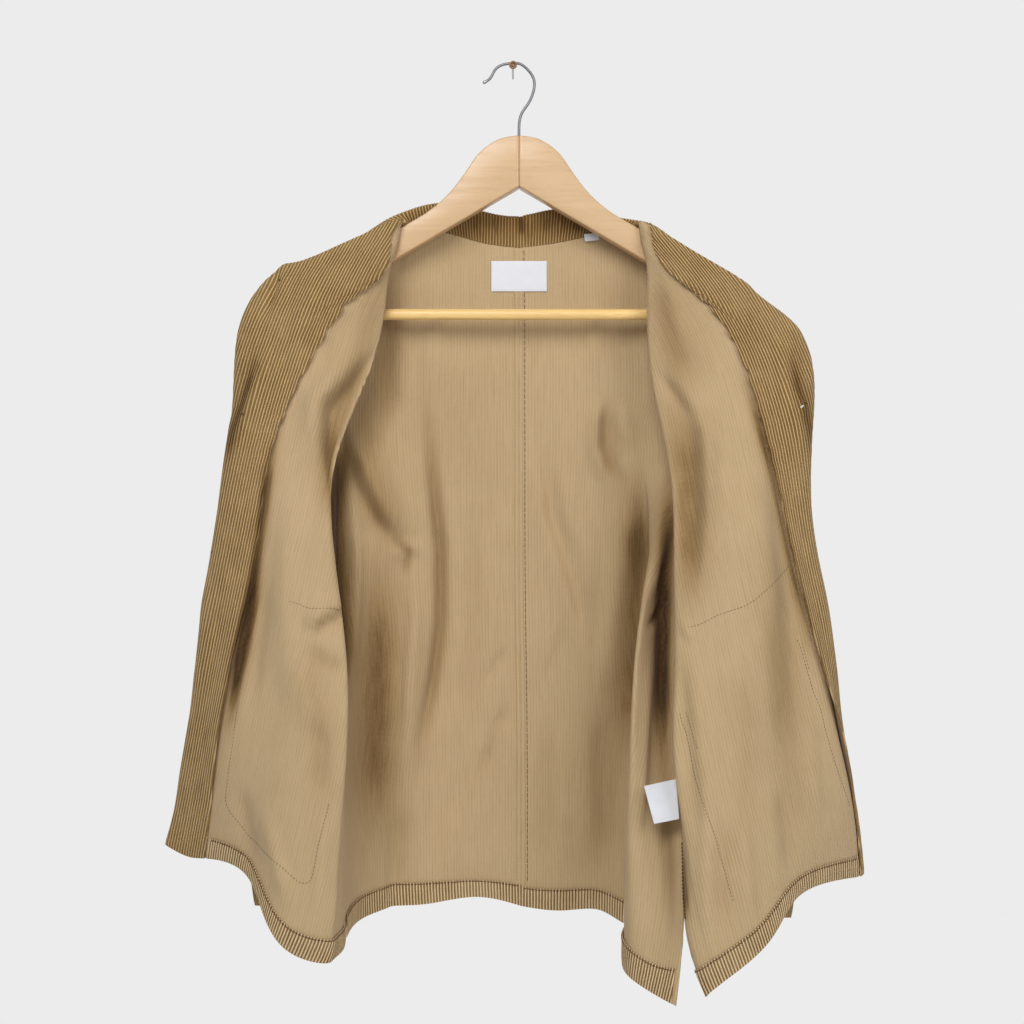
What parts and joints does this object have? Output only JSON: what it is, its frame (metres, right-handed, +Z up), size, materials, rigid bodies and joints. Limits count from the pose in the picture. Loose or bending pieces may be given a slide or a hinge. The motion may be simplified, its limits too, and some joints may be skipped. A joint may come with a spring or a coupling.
{
  "type": "corduroy jacket on a hanger",
  "caption": "Corduroy shirt jacket hung wide open on a flat wooden hanger from a wall peg, fronts swung out so that the inside shows, sleeves hanging behind them.",
  "frame": {"origin": "the wall peg's axis, where the hanger's hook sits on it", "axes": "+Z up; -Y towards someone who faces the open front; +X to their right, the wearer's left"},
  "size_m": [0.6876, 0.2059, 0.901],
  "materials": {
    "corduroy": "cotton corduroy, about 8 wales to the inch, brushed nap",
    "cloth_reverse": "matt flat back of the corduroy",
    "hanger_wood": "pale wood, satin lacquer",
    "hook_steel": "plated wire",
    "peg_brass": "dull antique brass",
    "label_tape": "smooth white woven tape",
    "button_horn": "dark horn-like resin"
  },
  "bodies": {
    "root": {"wall_peg": "peg_brass", "hanger_hook": "hook_steel", "hanger_arm_right": "hanger_wood", "hanger_arm_left": "hanger_wood", "hanger_bar": "hanger_wood", "back_right": "cloth_reverse", "back_left": "cloth_reverse", "front_right": "cloth_reverse", "front_left": "cloth_reverse", "back_hem_right": "corduroy", "back_hem_left": "corduroy", "front_hem_right": "corduroy", "front_hem_left": "corduroy", "facing_right": "corduroy", "facing_left": "corduroy", "pocket_right": "corduroy", "pocket_left": "corduroy", "sleeve_right": "corduroy", "sleeve_left": "corduroy", "cuff_right": "corduroy", "cuff_left": "corduroy", "collar": "corduroy", "neck_label": "label_tape", "size_tab": "label_tape", "care_label": "label_tape", "button_1": "button_horn", "button_2": "button_horn", "button_3": "button_horn", "button_4": "button_horn"}
  },
  "joints": []
}
